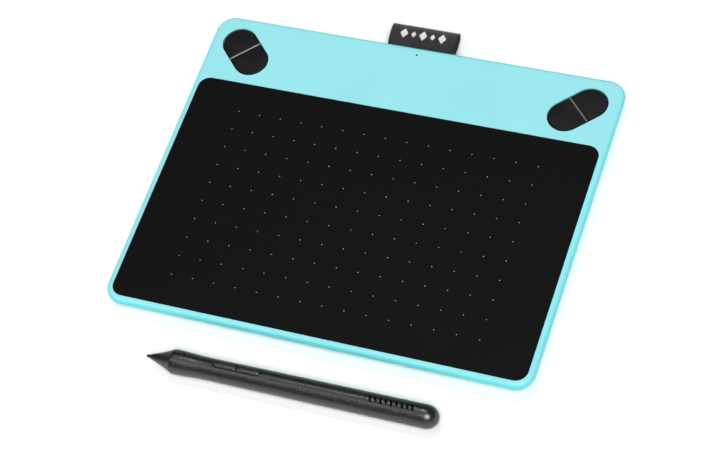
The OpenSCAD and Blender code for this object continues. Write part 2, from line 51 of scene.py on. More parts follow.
CASE_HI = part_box("top_case")[1]
SHEET_LO, SHEET_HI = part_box("drawing_surface")
SIDES = ("left", "right")
KEYS = [side + "_" + place + "_key" for side in SIDES for place in ("back", "front")]
FEET = [place + "_" + side + "_foot" for place in ("front", "back") for side in SIDES]


# ---------- camera, lights and floor ----------

FLOOR_HALF = 4
WHITE_BELOW, DIM_ABOVE, DIM_STRENGTH = 0.06, 0.2, 0.05


def add_object(name, data):
    """A new object in the scene."""
    obj = bpy.data.objects.new(name, data)
    bpy.context.scene.collection.objects.link(obj)
    return obj


def make_camera():
    """The camera: above the front right, rolled a little clockwise."""
    place = Vector((0.32344, -0.52345, 0.91837))
    ahead = Vector((-0.33695, 0.45323, -0.82526)).normalized()
    right = Vector((0.92282, 0.33283, -0.19400))
    right = (right - right.dot(ahead) * ahead).normalized()
    up = right.cross(ahead)
    data = bpy.data.cameras.new("camera")
    data.sensor_width = 36
    data.lens = 114.893
    data.shift_x = 0.1559
    data.clip_end = 50
    camera = add_object("camera", data)
    turn = Matrix((right, up, -ahead)).transposed()
    camera.matrix_world = Matrix.Translation(place) @ turn.to_4x4()
    bpy.context.scene.camera = camera


def aim(light, toward):
    """Turns a light so that it shines along a direction."""
    light.rotation_euler = Vector(toward).to_track_quat("-Z", "Y").to_euler()


def distant_light(name, source, angle, strength):
    """An even light from the direction of a source that looks angle degrees wide."""
    data = bpy.data.lights.new(name, "SUN")
    data.energy = strength
    data.angle = math.radians(angle)
    light = add_object(name, data)
    aim(light, -Vector(source))


def soft_box(name, place, target, width, depth, watts):
    """A rectangular soft light at a place, facing a target."""
    data = bpy.data.lights.new(name, "AREA")
    data.shape = "RECTANGLE"
    data.size, data.size_y = width, depth
    data.energy = watts
    light = add_object(name, data)
    light.location = place
    aim(light, Vector(target) - Vector(place))


def set_range(node, low, high, to_low, to_high):
    """Sets what a Map Range node carries from where to where."""
    sockets = ("From Min", "From Max", "To Min", "To Max")
    for socket, number in zip(sockets, (low, high, to_low, to_high)):
        node.inputs[socket].default_value = number


def make_world():
    """Surroundings, white up to the horizon and dim overhead, so that gloss keeps contrast."""
    world = bpy.data.worlds.new("studio")
    world.use_nodes = True
    tree = world.node_tree
    way = tree.nodes.new("ShaderNodeTexCoord").outputs["Generated"]
    split = tree.nodes.new("ShaderNodeSeparateXYZ")
    ramp = tree.nodes.new("ShaderNodeMapRange")
    set_range(ramp, WHITE_BELOW, DIM_ABOVE, 1.0, DIM_STRENGTH)
    background = tree.nodes["Background"]
    background.inputs["Color"].default_value = (1, 1, 1, 1)
    tree.links.new(way, split.inputs["Vector"])
    tree.links.new(split.outputs["Z"], ramp.inputs["Value"])
    tree.links.new(ramp.outputs["Result"], background.inputs["Strength"])
    bpy.context.scene.world = world


def make_stage():
    """A white floor under a wide overhead light, and weaker lights from behind, front and left."""
    make_world()
    bpy.context.scene.view_settings.view_transform = "Standard"
    distant_light("overhead", (0.32, -0.48, 1.0), 32, 3.1)
    distant_light("behind", (-0.14, 0.40, 1.0), 4, 0.45)
    distant_light("front", (0.1, -1.0, 0.5), 30, 0.12)
    soft_box("left_box", (-0.55, -0.3, 0.95), (0, 0, 0), 0.5, 0.5, 1.3)
    mesh = bpy.data.meshes.new("floor")
    corners = [(x * FLOOR_HALF, y * FLOOR_HALF, 0) for x, y in ((-1, -1), (1, -1), (1, 1), (-1, 1))]
    mesh.from_pydata(corners, [], [(0, 1, 2, 3)])
    floor = add_object("floor", mesh)
    paper = Finish("floor_paper", (0.915, 0.915, 0.915), 0.9, specular=0.1)
    floor.data.materials.append(paper.material)


# ---------- materials ----------

class Finish:
    """A material around one Principled shader, with short calls for the patterns on it.

    Patterns are made in the object's own coordinates, so their sizes are real sizes in metres."""

    def __init__(self, name, colour, roughness, metallic=0.0, specular=0.5, **sockets):
        self.material = bpy.data.materials.new(name)
        self.material.use_nodes = True
        self.tree = self.material.node_tree
        self.shader = self.tree.nodes["Principled BSDF"]
        self.colour = (*colour, 1.0)
        self.set("Base Color", self.colour)
        self.set("Roughness", roughness)
        self.set("Metallic", metallic)
        self.set("Specular IOR Level", specular)
        for socket, value in sockets.items():
            self.set(socket.replace("_", " "), value)
        self.place = self.node("ShaderNodeTexCoord").outputs["Object"]

    def set(self, socket, value):
        self.shader.inputs[socket].default_value = value

    def link(self, source, target):
        self.tree.links.new(source, target)

    def node(self, kind, **settings):
        """A node with its settings, where a setting may be an attribute or an input by name."""
        made = self.tree.nodes.new(kind)
        for key, value in settings.items():
            if hasattr(made, key):
                setattr(made, key, value)
                continue
            socket = made.inputs[key]
            if isinstance(value, bpy.types.NodeSocket):
                self.link(value, socket)
            else:
                socket.default_value = value
        return made

    def mapped(self, scale=(1, 1, 1), turn=(0, 0, 0), source=None):
        """Coordinates scaled and turned."""
        made = self.node("ShaderNodeMapping", Vector=source or self.place)
        made.inputs["Scale"].default_value = scale
        made.inputs["Rotation"].default_value = turn
        return made.outputs["Vector"]

    def noise(self, size, detail, source=None):
        """Noise with features of about that size."""
        made = self.node("ShaderNodeTexNoise", Vector=source or self.place)
        made.inputs["Scale"].default_value = 1 / size
        made.inputs["Detail"].default_value = detail
        return made.outputs["Fac"]

    def cells(self, size):
        """Distance to the nearest of scattered points, about that far apart."""
        made = self.node("ShaderNodeTexVoronoi", Vector=self.place)
        made.inputs["Scale"].default_value = 1 / size
        return made.outputs["Distance"]

    def waves(self, size, source, direction, distortion=0.0):
        """Parallel ridges that repeat at that size."""
        made = self.node("ShaderNodeTexWave", bands_direction=direction, Vector=source)
        made.inputs["Scale"].default_value = math.tau / 20 / size
        made.inputs["Distortion"].default_value = distortion
        return made.outputs["Fac"]

    def fade(self, value, low, high, to_low=0.0, to_high=1.0):
        """A value carried from one range to another, held at the ends."""
        made = self.node("ShaderNodeMapRange", Value=value)
        set_range(made, low, high, to_low, to_high)
        return made.outputs["Result"]

    def combined(self, first, second, operation):
        """Two patterns joined by a Math node."""
        made = self.node("ShaderNodeMath", operation=operation)
        self.link(first, made.inputs[0])
        self.link(second, made.inputs[1])
        return made.outputs[0]

    def tint(self, factor, colour):
        """Mixes another colour into the base colour where factor is high."""
        mix = self.node("ShaderNodeMix", data_type="RGBA")
        base = self.shader.inputs["Base Color"]
        if base.is_linked:
            self.link(base.links[0].from_socket, mix.inputs[6])
        else:
            mix.inputs[6].default_value = self.colour
        mix.inputs[7].default_value = (*colour, 1.0)
        self.link(factor, mix.inputs[0])
        self.link(mix.outputs[2], base)

    def shine(self, factor, rough_low, rough_high):
        """Lets the roughness follow a pattern."""
        rough = self.fade(factor, 0.3, 0.7, rough_low, rough_high)
        self.link(rough, self.shader.inputs["Roughness"])

    def relief(self, height, depth):
        """Adds a pattern to the surface's relief, depth metres from its lowest to its highest."""
        bump = self.node("ShaderNodeBump", Height=height)
        bump.inputs["Distance"].default_value = depth
        bump.inputs["Strength"].default_value = 1.0
        normal = self.shader.inputs["Normal"]
        if normal.is_linked:
            self.link(normal.links[0].from_socket, bump.inputs["Normal"])
        self.link(bump.outputs["Normal"], normal)


def scaled(colour, factor):
    """A colour made lighter or darker."""
    return tuple(min(1.0, channel * factor) for channel in colour)


def moulded(name, colour, roughness, grain=0.35 * MM, depth=0.004 * MM, **sockets):
    """Moulded plastic: a fine eroded grain, slow colour drift and uneven gloss."""
    look = Finish(name, colour, roughness, **sockets)
    drift = look.noise(22 * MM, 2.0)
    look.tint(look.fade(drift, 0.35, 0.7, 0.0, 0.5), scaled(colour, 0.93))
    look.tint(look.fade(look.noise(grain, 2.0), 0.45, 0.75, 0.0, 0.35), scaled(colour, 1.06))
    look.shine(look.noise(6 * MM, 4.0), roughness - 0.03, roughness + 0.04)
    look.relief(look.noise(grain, 3.0), depth)
    return look


def mint_case_with_painted_sheen():
    """Mint plastic with a satin eroded grain, painted paler on the level top than on the rounded edge:
    a painted sheen from the overhead light.
    """
    # pale is the top's mint with a painted sheen on it; deep is the mint of the rounded edge
    pale, deep = (0.285, 0.717, 0.762), (0.12, 0.66, 0.70)
    look = moulded("mint_case_with_painted_sheen", pale, 0.42, specular=0.3)
    normal = look.node("ShaderNodeNewGeometry").outputs["Normal"]
    level = look.node("ShaderNodeSeparateXYZ", Vector=normal).outputs["Z"]
    # Painted sheen: the colour turns from pale to deep as the surface tilts away from level.
    look.tint(look.fade(level, 0.97, 0.55), deep)
    return look.material


def black_sheet():
    """The drawing surface: a matt black film with a fine tooth that the nib rubs on."""
    look = Finish("black_sheet", (0.005, 0.005, 0.0052), 0.55, specular=0.05)
    tooth = look.noise(0.22 * MM, 4.0)
    look.tint(look.fade(tooth, 0.5, 0.8, 0.0, 0.7), (0.0078, 0.0078, 0.0081))
    look.shine(look.noise(30 * MM, 3.0), 0.5, 0.6)
    look.relief(tooth, 0.012 * MM)
    look.relief(look.cells(0.3 * MM), 0.004 * MM)
    return look.material


def printed_ink():
    """Grey ink of the printed dots, a little uneven."""
    look = Finish("printed_ink", (0.38, 0.38, 0.38), 0.6, specular=0.2)
    look.tint(look.fade(look.noise(0.12 * MM, 2.0), 0.4, 0.7), (0.24, 0.24, 0.24))
    look.relief(look.noise(0.1 * MM, 2.0), 0.004 * MM)
    return look.material


def key_plastic():
    """Dark satin plastic with cloudy colour and gloss."""
    look = Finish("key_plastic", (0.0092, 0.0085, 0.0097), 0.42, specular=0.12)
    look.tint(look.fade(look.noise(7 * MM, 3.0), 0.35, 0.7), (0.0062, 0.0056, 0.0066))
    look.shine(look.noise(4 * MM, 4.0), 0.36, 0.46)
    look.relief(look.noise(0.3 * MM, 3.0), 0.006 * MM)
    return look.material


def soft_coat(name, colour, roughness):
    """The dark coats of the pen's parts: a mottled leathery tooth that spreads their highlights."""
    look = Finish(name, colour, roughness, specular=1.0)
    mottle = look.noise(0.75 * MM, 5.0)
    look.tint(look.fade(mottle, 0.42, 0.66), scaled(colour, 1.9))
    look.shine(look.noise(1.1 * MM, 4.0), roughness - 0.06, roughness + 0.1)
    look.relief(mottle, 0.055 * MM)
    look.relief(look.noise(0.25 * MM, 3.0), 0.012 * MM)
    return look.material


def twill(name, colour, thread):
    """Woven twill: slanted ridges of warp over a fine weft, in the ribbon's own flat coordinates."""
    look = Finish(name, colour, 0.85, specular=0.15, Sheen_Weight=0.3, Sheen_Roughness=0.4)
    flat = look.node("ShaderNodeUVMap", uv_map="flat").outputs["UV"]
    slant = look.mapped(turn=(0, 0, math.radians(35)), source=flat)
    ridges = look.waves(0.95 * MM, slant, "X", 0.6)
    weft = look.waves(0.32 * MM, flat, "Y", 0.3)
    warp = look.waves(0.4 * MM, flat, "X", 0.3)
    look.tint(look.fade(ridges, 0.35, 0.8), thread)
    look.tint(look.fade(look.noise(0.8 * MM, 3.0), 0.5, 0.62, 0.0, 0.8), scaled(colour, 2.0))
    look.relief(ridges, 0.14 * MM)
    look.relief(weft, 0.04 * MM)
    look.relief(warp, 0.03 * MM)
    return look.material


def white_thread():
    """White floating threads of the woven motif."""
    look = Finish("white_thread", (0.86, 0.86, 0.84), 0.7, specular=0.2, Sheen_Weight=0.3)
    strands = look.waves(0.09 * MM, look.place, "X", 1.2)
    look.tint(look.fade(strands, 0.2, 0.7, 0.0, 0.5), (0.62, 0.62, 0.61))
    look.relief(strands, 0.02 * MM)
    return look.material


def rubber(name, colour):
    """Moulded rubber with a matt skin and a little dust."""
    look = Finish(name, colour, 0.75, specular=0.3, Sheen_Weight=0.15)
    look.tint(look.fade(look.noise(3 * MM, 5.0), 0.5, 0.75, 0.0, 0.6), scaled(colour, 1.8))
    look.shine(look.noise(2 * MM, 3.0), 0.7, 0.85)
    look.relief(look.noise(0.4 * MM, 4.0), 0.02 * MM)
    return look.material


def metal(name, colour, roughness, brushed=True):
    """Bare metal, streaked by brushing or evenly mottled."""
    look = Finish(name, colour, roughness, metallic=1.0)
    lines = look.mapped(scale=(1, 14, 1) if brushed else (1, 1, 1))
    streaks = look.noise(0.6 * MM, 4.0, lines)
    look.tint(look.fade(streaks, 0.4, 0.7), scaled(colour, 0.82))
    look.shine(streaks, roughness - 0.06, roughness + 0.12)
    look.relief(streaks, 0.004 * MM)
    return look.material


def circuit_board():
    """Green solder mask over a grid of tracks, with small bright pads."""
    look = Finish("circuit_board", (0.012, 0.12, 0.06), 0.35, specular=0.5)
    across = look.fade(look.waves(2.4 * MM, look.place, "X"), 0.9, 0.96)
    along = look.fade(look.waves(2.4 * MM, look.place, "Y"), 0.9, 0.96)
    tracks = look.combined(across, along, "MAXIMUM")
    look.tint(tracks, (0.03, 0.23, 0.11))
    look.tint(look.combined(across, along, "MULTIPLY"), (0.65, 0.5, 0.25))
    look.relief(tracks, 0.03 * MM)
    look.relief(look.noise(0.8 * MM, 3.0), 0.01 * MM)
    return look.material


def flat_cable():
    """White film with fine grey conductors showing through."""
    look = Finish("flat_cable", (0.75, 0.76, 0.76), 0.4, specular=0.4)
    wires = look.waves(0.5 * MM, look.place, "X")
    look.tint(look.fade(wires, 0.4, 0.8, 0.0, 0.8), (0.42, 0.44, 0.47))
    look.relief(wires, 0.03 * MM)
    return look.material


def foam():
    """Closed cells of a dark foam."""
    look = Finish("foam", (0.03, 0.03, 0.032), 0.9, specular=0.2)
    cells = look.cells(0.5 * MM)
    # The cells' walls are lighter and their hollows keep the dark base: painted shade in the hollows.
    look.tint(look.fade(cells, 0.2, 0.6), (0.055, 0.055, 0.06))
    look.relief(cells, 0.12 * MM)
    return look.material


def coil_wire():
    """Enamelled copper wire, wound side by side around the pen, which lies along X."""
    look = Finish("coil_wire", (0.72, 0.29, 0.10), 0.28, metallic=1.0)
    turns = look.waves(0.12 * MM, look.place, "X")
    # Darker copper in the grooves between the turns: painted shade.
    look.tint(look.fade(turns, 0.3, 0.1), (0.3, 0.09, 0.03))
    look.relief(turns, 0.05 * MM)
    return look.material


def light_guide():
    """The status light's clear peg, dark because the light behind it is off."""
    look = Finish("light_guide", (0.02, 0.035, 0.045), 0.18, specular=0.5, Coat_Weight=0.4)
    look.tint(look.fade(look.noise(0.3 * MM, 2.0), 0.4, 0.7), (0.04, 0.06, 0.075))
    look.relief(look.noise(0.2 * MM, 2.0), 0.004 * MM)
    return look.material


def paint_nodes():
    """Gives every CAD node the finish of what it is made of, and returns the finishes by node."""
    finishes = {
        mint_case_with_painted_sheen(): ["top_case", "bottom_case", "accessory_cover"],
        black_sheet(): ["drawing_surface"],
        circuit_board(): ["sensor_board", "main_board", "left_key_board", "right_key_board",
                          "led_board", "pen_board"],
        metal("rolled_sheet", (0.72, 0.73, 0.75), 0.3): ["shield_plate", "loop_clamp"],
        metal("plated_steel", (0.66, 0.67, 0.69), 0.28, brushed=False):
            ["usb_socket", "case_screws", "board_screws", "pressure_sensor"],
        foam(): ["foam_strips"],
        moulded("chip_package", (0.018, 0.018, 0.02), 0.5).material:
            ["controller_chip", "power_chip", "pen_chip", "key_switches", "pen_switches"],
        flat_cable(): ["sensor_ribbon", "left_key_ribbon", "right_key_ribbon"],
        moulded("pale_nylon", (0.72, 0.72, 0.68), 0.45).material:
            ["ribbon_connectors", "nib_carrier", "status_led"],
        light_guide(): ["light_pipe"],
        rubber("foot_rubber", (0.02, 0.02, 0.021)): FEET,
        moulded("rack_plastic", (0.05, 0.05, 0.053), 0.5).material:
            ["nib_rack", "battery_socket", "wireless_socket", "pen_chassis"],
        moulded("nib_plastic", (0.022, 0.022, 0.022), 0.38, grain=0.15 * MM).material:
            ["spare_nibs", "pen_nib"],
        key_plastic(): KEYS,
        moulded("plunger_plastic", (0.16, 0.16, 0.17), 0.4).material:
            [key.replace("_key", "_plunger") for key in KEYS],
        soft_coat("pen_coating", (0.002, 0.002, 0.0021), 0.31): ["pen_barrel"],
        soft_coat("nose_plastic", (0.0012, 0.0012, 0.0013), 0.32): ["pen_nose"],
        soft_coat("button_plastic", (0.009, 0.009, 0.0095), 0.3):
            ["lower_side_button", "upper_side_button"],
        moulded("ferrite", (0.035, 0.033, 0.034), 0.6, grain=0.2 * MM, depth=0.03 * MM).material:
            ["ferrite_core"],
        coil_wire(): ["pen_coil"],
        moulded("ceramic", (0.45, 0.31, 0.17), 0.45).material: ["pen_capacitors"],
        twill("loop_twill", (0.004, 0.0035, 0.0045), (0.07, 0.064, 0.074)): ["pen_loop"],
    }
    looks = {}
    for material, names in finishes.items():
        for name in names:
            slots = frame["nodes"][name].data.materials
            slots.clear()
            slots.append(material)
            looks[name] = material
    return looks


# ---------- mesh helpers ----------

def outward_mesh(name, vertices, faces):
    """A mesh whose faces all look outwards."""
    mesh = bpy.data.meshes.new(name)
    mesh.from_pydata([tuple(v) for v in vertices], [], faces)
    shape = bmesh.new()
    shape.from_mesh(mesh)
    bmesh.ops.recalc_face_normals(shape, faces=shape.faces)
    shape.to_mesh(mesh)
    shape.free()
    return mesh


def smooth(mesh, crease):
    """Shades a mesh smooth except along edges sharper than crease degrees."""
    mesh.shade_smooth()
    mesh.set_sharp_from_angle(angle=math.radians(crease))


def piece(name, vertices, faces, material, body, crease=35):
    """A mesh piece in the model's frame that moves with a body."""
    mesh = outward_mesh(name, vertices, faces)
    smooth(mesh, crease)
    mesh.materials.append(material)
    obj = add_object(name, mesh)
    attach(obj, body)
    return obj


def loft(rings, closed=False):
    """Vertices and faces of a skin through rings of equal length.

    Closed, its last ring joins the first. Otherwise both of its ends are capped."""
    count = len(rings[0])
    vertices = [point for ring in rings for point in ring]
    steps = len(rings) if closed else len(rings) - 1
    faces = []
    for i in range(steps):
        low, high = i * count, (i + 1) % len(rings) * count
        for j in range(count):
            k = (j + 1) % count
            faces.append((low + j, low + k, high + k, high + j))
    if not closed:
        faces.append(tuple(range(count)))
        faces.append(tuple(range((len(rings) - 1) * count, len(rings) * count)))
    return vertices, faces


def join(*parts):
    """Several (vertices, faces) as one."""
    vertices, faces = [], []
    for part_vertices, part_faces in parts:
        start = len(vertices)
        vertices += part_vertices
        faces += [tuple(start + i for i in face) for face in part_faces]
    return vertices, faces


def arc(radius, start, end, steps, centre):
    """Points along an arc between two angles in degrees, its ends included."""
    turns = [math.radians(start + (end - start) * i / steps) for i in range(steps + 1)]
    return [(centre[0] + radius * math.cos(t), centre[1] + radius * math.sin(t)) for t in turns]


def rounded_outline(width, depth, radius, steps=10):
    """Outline of a rectangle with round corners about the origin."""
    points = []
    for corner, (sx, sy) in enumerate(((1, 1), (-1, 1), (-1, -1), (1, -1))):
        centre = (sx * (width / 2 - radius), sy * (depth / 2 - radius))
        points += arc(radius, 90 * corner, 90 * corner + 90, steps, centre)
    return points


def edge_round(radius, steps=4):
    """Insets and drops from a side to a top, around a rounded edge."""
    turns = [math.pi / 2 * i / steps for i in range(steps + 1)]
    return [(radius * (1 - math.cos(t)), radius * (1 - math.sin(t))) for t in turns]


def slab(width, depth, corner, low, high, edge, centre):
    """A flat block with round corners and a rounded top and bottom edge."""
    levels = [(inset, low + drop) for inset, drop in reversed(edge_round(edge))]
    levels += [(inset, high - drop) for inset, drop in edge_round(edge)]
    place = Matrix.Translation((*centre, 0))
    rings = []
    for inset, z in levels:
        outline = rounded_outline(width - 2 * inset, depth - 2 * inset, corner - inset)
        rings.append([place @ Vector((x, y, z)) for x, y in outline])
    return loft(rings)


# ---------- drawing surface and feet ----------

DOT_COLUMNS, DOT_ROWS = 15, 10
DOT_R = 0.26 * MM
ACTIVE_W, ACTIVE_D = 152 * MM, 95.35 * MM
SHEET_CORNER, SHEET_EDGE = 5.9 * MM, 0.15 * MM
FOOT_EDGE = 0.3 * MM


def make_sheet():
    """The black film, with a softly rounded edge, and the printed dots that mark its active area."""
    width, depth = SHEET_HI.x - SHEET_LO.x, SHEET_HI.y - SHEET_LO.y
    centre = ((SHEET_HI.x + SHEET_LO.x) / 2, (SHEET_HI.y + SHEET_LO.y) / 2)
    shape = slab(width, depth, SHEET_CORNER, SHEET_LO.z, SHEET_HI.z, SHEET_EDGE, centre)
    sheet = piece("surface_film", *shape, looks["drawing_surface"], "tablet")
    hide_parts("drawing_surface")
    dots = []
    for column in range(DOT_COLUMNS):
        for row in range(DOT_ROWS):
            x = centre[0] + ACTIVE_W * (column / (DOT_COLUMNS - 1) - 0.5)
            y = centre[1] + ACTIVE_D * (row / (DOT_ROWS - 1) - 0.5)
            dots.append(dot(x, y, DOT_R, SHEET_HI.z))
    marks = piece("printed_dots", *join(*dots), printed_ink(), "tablet")


def dot(x, y, radius, z):
    """One printed dot: a disc as thick as its ink, a little proud of the film."""
    sides = [arc(r, 0, 330, 11, (x, y)) for r in (radius, radius, radius * 0.8)]
    heights = (z - 0.01 * MM, z + 0.008 * MM, z + 0.016 * MM)
    return loft([[(*point, height) for point in ring] for ring, height in zip(sides, heights)])


def make_feet():
    """Rubber feet with rounded rims."""
    for name in FEET:
        low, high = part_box(name)
        size, centre = high - low, (low + high) / 2
        almost_round = size.y / 2 - 0.001 * MM
        shape = slab(size.x, size.y, almost_round, low.z, high.z, FOOT_EDGE, centre.to_2d())
        foot = piece(name + "_pad", *shape, looks[name], "tablet")
        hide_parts(name)


# ---------- shortcut keys ----------

KEY_L, KEY_W, KEY_SPLIT = 30 * MM, 16.7 * MM, 0.3 * MM
KEY_EDGE, KEY_CROWN = 0.5 * MM, 0.15 * MM
OUTER_SLOPE, INNER_SLOPE = (0.55 * MM, 0.28 * MM), (0.12 * MM, 0.12 * MM)
FLANGE_LOW, FLANGE_HIGH, FLANGE_REACH = 0.5 * MM, 1.2 * MM, 0.8 * MM
STEM_R, STEM_H, STEM_X = 1.8 * MM, 0.6 * MM, 7.6 * MM


def half_oval(inset, split_inset):
    """Outline of one key of an oval pair, on the +X side of the split."""
    radius = KEY_W / 2 - inset
    near = KEY_SPLIT / 2 + split_inset
    end = (KEY_L - KEY_W) / 2
    side = [near + (end - near) * i / 5 for i in range(5)]
    points = [(x, -radius) for x in side]
    points += arc(radius, -90, 90, 28, (end, 0))
    points += [(x, radius) for x in reversed(side)]
    points += [(near, radius * (1 - i / 4)) for i in range(1, 8)]
    return points


def key_cap(base, top, slope):
    """One key in its pair's coordinates: flange, wall, rounded rim, slope at the split, faint crown."""
    rim = top - KEY_CROWN
    slope_w, slope_h = slope
    flange_top, wall_top = base + FLANGE_HIGH, rim - KEY_EDGE - 0.05 * MM
    rings = [(z, half_oval(-FLANGE_REACH, 0)) for z in (base + FLANGE_LOW, flange_top)]
    rings += [(z, half_oval(0, 0)) for z in (flange_top, wall_top)]
    for inset, drop in edge_round(KEY_EDGE, 8):
        cut_in = slope_w * max(0.0, 1 - drop / slope_h)
        rings.append((rim - drop, half_oval(inset, cut_in)))
    crest = half_oval(KEY_EDGE, slope_w)
    middle = ((KEY_L + KEY_SPLIT) / 4, 0)
    for share in (0.9, 0.75, 0.5, 0.2):
        outline = [tuple(m + share * (c - m) for c, m in zip(point, middle)) for point in crest]
        rings.append((rim + KEY_CROWN * (1 - share ** 2), outline))
    return loft([[Vector((*point, z)) for point in outline] for z, outline in rings])


def paint_slope_highlight(key, place, slope_w, material):
    """Gives the faces of a key's slope at the split the light grey material, a painted highlight."""
    key.data.materials.append(material)
    back = place.inverted()
    for polygon in key.data.polygons:
        normal = back.to_3x3() @ polygon.normal
        across = (back @ polygon.center).x - KEY_SPLIT / 2
        faces_split, faces_up = normal.x < -0.2, normal.z > 0.3
        if faces_split and faces_up and across < slope_w:
            polygon.material_index = 1


def make_keys():
    """Two oval pairs of keys, each pair split by a slope, which is wider on its back key. The slope's
    faces are light grey: a painted highlight where the bevels would catch the light.
    """
    # Light grey for the slopes at the split: a painted highlight, not the colour of the keys' plastic.
    pale = moulded("key_slope", (0.16, 0.152, 0.158), 0.42).material
    for names, turn in ((KEYS[:2], 135), (KEYS[2:], 45)):
        boxes = [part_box(name) for name in names]
        low = [min(box[0][i] for box in boxes) for i in range(3)]
        high = [max(box[1][i] for box in boxes) for i in range(3)]
        centre = Matrix.Translation(((low[0] + high[0]) / 2, (low[1] + high[1]) / 2, 0))
        for name, flip, slope in zip(names, (0, 180), (OUTER_SLOPE, INNER_SLOPE)):
            place = centre @ Matrix.Rotation(math.radians(turn + flip), 4, "Z")
            stem = post(STEM_R, low[2], low[2] + STEM_H, STEM_X)
            vertices, faces = join(key_cap(low[2], high[2], slope), stem)
            key = piece(name + "_cap", [place @ v for v in vertices], faces, looks[name], name)
            paint_slope_highlight(key, place, slope[0], pale)
            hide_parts(name)


def post(radius, low, high, x):
    """A short round post at a distance along X."""
    outline = arc(radius, 0, 345, 23, (x, 0))
    return loft([[Vector((*point, z)) for point in outline] for z in (low, high)])


# ---------- woven loop ----------

LOOP_PLY = 0.6 * MM
MOUTH_Z = 7.2 * MM
TAIL_Z = 5.4 * MM
HOLLOW_L, HOLLOW_H = 12.3 * MM, 3.3 * MM
HOLLOW_TILT = math.radians(6)
TAIL_L, STEP_L = 8.4 * MM, 3.2 * MM  # from the case's back edge in
RIBBON_STEP = 0.25 * MM
RIPPLE, RIPPLE_ALONG, RIPPLE_ACROSS, RIPPLE_FADE = 0.10 * MM, 0.16, 300, 30


def hollow_point(angle):
    """Middle of the ribbon around the loop's hollow, as (Y, Z), by an angle in degrees."""
    turn = math.radians(angle)
    along = HOLLOW_L * (1 - math.cos(turn)) / 2
    up = HOLLOW_H * math.sin(turn) * math.sin(turn / 2) ** 0.35
    cos, sin = math.cos(HOLLOW_TILT), math.sin(HOLLOW_TILT)
    return (CASE_HI.y + along * cos - up * sin, MOUTH_Z + along * sin + up * cos)


def ribbon_line():
    """The ribbon's middle line as (Y, Z): from under the clamp, round the hollow and back."""
    back = CASE_HI.y
    start, step = back - TAIL_L, back - STEP_L
    upper = [(start, TAIL_Z + 1.5 * LOOP_PLY), (step, TAIL_Z + 1.5 * LOOP_PLY),
             (back - 0.2 * MM, MOUTH_Z + 0.5 * LOOP_PLY)]
    lower = [(back - 0.2 * MM, MOUTH_Z - 0.5 * LOOP_PLY), (step + 0.4 * MM, TAIL_Z + 0.5 * LOOP_PLY),
             (start, TAIL_Z + 0.5 * LOOP_PLY)]
    corners = upper + [hollow_point(a) for a in range(22, 340, 3)] + lower
    return evenly(corners, RIBBON_STEP)


def evenly(points, step):
    """The same line with points at equal steps."""
    points = [Vector(p) for p in points]
    lengths = [0.0]
    for a, b in zip(points, points[1:]):
        lengths.append(lengths[-1] + (b - a).length)
    count = round(lengths[-1] / step)
    line, i = [], 0
    for n in range(count + 1):
        want = lengths[-1] * n / count
        while i < len(points) - 2 and lengths[i + 1] < want:
            i += 1
        share = (want - lengths[i]) / (lengths[i + 1] - lengths[i])
        line.append(points[i].lerp(points[i + 1], share))
    return line


def ribbon_normals(line):
    """Unit normals of the line, towards the ribbon's outer face."""
    normals = []
    for i in range(len(line)):
        along = line[min(i + 1, len(line) - 1)] - line[max(i - 1, 0)]
        normals.append(Vector((-along.y, along.x)).normalized())
    return normals


def ribbon_section(half_width):
    """Upper face of half the ribbon, from its beaded edge in: (across, share of half its thickness)."""
    edge, step = 0.9 * MM, 0.3 * MM
    bead = [(half_width - edge * (1 - math.cos(t)) * 0.5, math.sin(t)) for t in (0.0, 0.5, 1.0, 1.5)]
    shoulder = [(half_width - edge, 1.0), (half_width - edge - step, 0.9)]
    flat_half = half_width - edge - 2 * step
    return bead + shoulder + [(flat_half * (1 - i / 10), 0.86) for i in range(11)]


def make_loop():
    """The loop of twill ribbon, with beaded selvedges, a faint ripple and a woven row of lozenges."""
    line = ribbon_line()
    normals = ribbon_normals(line)
    low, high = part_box("pen_loop")
    half_width = (high.x - low.x) / 2
    upper = ribbon_section(half_width)
    around = upper + [(-x, h) for x, h in reversed(upper[:-1])]
    around += [(x, -h) for x, h in reversed(around[1:-1])]
    rings = []
    for i, (point, normal) in enumerate(zip(line, normals)):
        calm = min(1, i / RIPPLE_FADE, (len(line) - 1 - i) / RIPPLE_FADE)
        ring = []
        for x, share in around:
            edge = abs(x) / half_width
            ripple = RIPPLE * math.sin(i * RIPPLE_ALONG + x * RIPPLE_ACROSS) * edge ** 4
            out = share * LOOP_PLY / 2 + ripple * calm
            ring.append(Vector((x, *(point + normal * out))))
        rings.append(ring)
    ribbon = piece("twill_ribbon", *loft(rings), looks["pen_loop"], "tablet", crease=60)
    lay_flat(ribbon, len(around), len(line))
    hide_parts("pen_loop")
    motif = make_motif(line, normals)


def lay_flat(ribbon, around, count):
    """Flat coordinates for the weave: metres across the ribbon and metres along it."""
    mesh = ribbon.data
    layer = mesh.uv_layers.new(name="flat")
    for loop in mesh.loops:
        row = min(loop.vertex_index // around, count - 1)
        layer.data[loop.index].uv = (mesh.vertices[loop.vertex_index].co.x, row * RIBBON_STEP)


def make_motif(line, normals):
    """A generic mark woven into the ribbon's upper face: a row of lozenges in white threads.

    The row lies where the ribbon levels off, outside the case."""
    in_case, level = 40, -0.16
    middle = next(i for i, normal in enumerate(normals) if i > in_case and normal.x > level)
    pitch, reach, rise, thread, small = 4.9 * MM, 2.05 * MM, 2.6 * MM, 0.3 * MM, 0.62
    step = (line[1] - line[0]).length
    threads = []
    for k in range(-2, 3):
        size = 1.0 if k % 2 == 0 else small
        rows = int(rise * size / thread)
        for row in range(-rows, rows + 1):
            half = reach * size * (1 - abs(row) / (rows + 0.5))
            i = middle + row * thread / step
            threads.append(float_thread(line, normals, k * pitch, half, i, thread))
    motif = piece("woven_motif", *join(*threads), white_thread(), "tablet", crease=60)
    return motif


